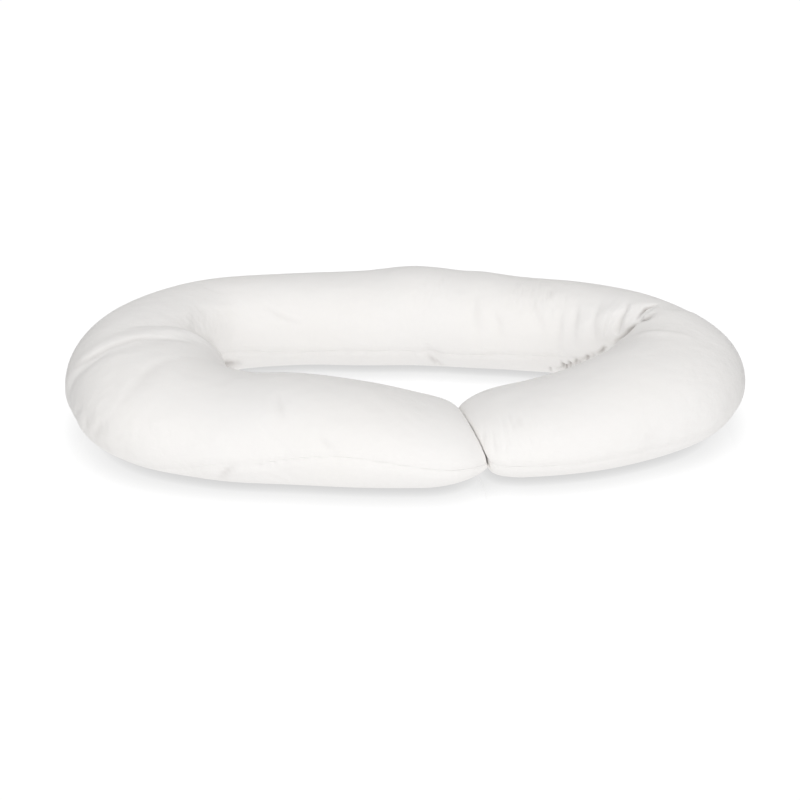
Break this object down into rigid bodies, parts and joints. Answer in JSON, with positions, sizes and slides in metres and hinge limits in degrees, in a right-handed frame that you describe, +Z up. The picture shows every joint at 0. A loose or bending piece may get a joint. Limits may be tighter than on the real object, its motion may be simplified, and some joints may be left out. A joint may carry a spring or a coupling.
{
  "type": "body pillow",
  "caption": "Long stuffed tube of plain white cloth with one seam round its edge, laid round in a ring until its blunt ends press together.",
  "frame": {"origin": "middle of the footprint box, on the plane that the pillow lies on", "axes": "+X along the ring's length, towards its right-hand bend; +Y from the pressed ends to the back of the ring; +Z up"},
  "size_m": [1.3504, 0.8046, 0.2022],
  "materials": {
    "white_cotton": "matte plain-woven cotton"
  },
  "bodies": {
    "root": {"pillow": "white_cotton"}
  },
  "joints": []
}
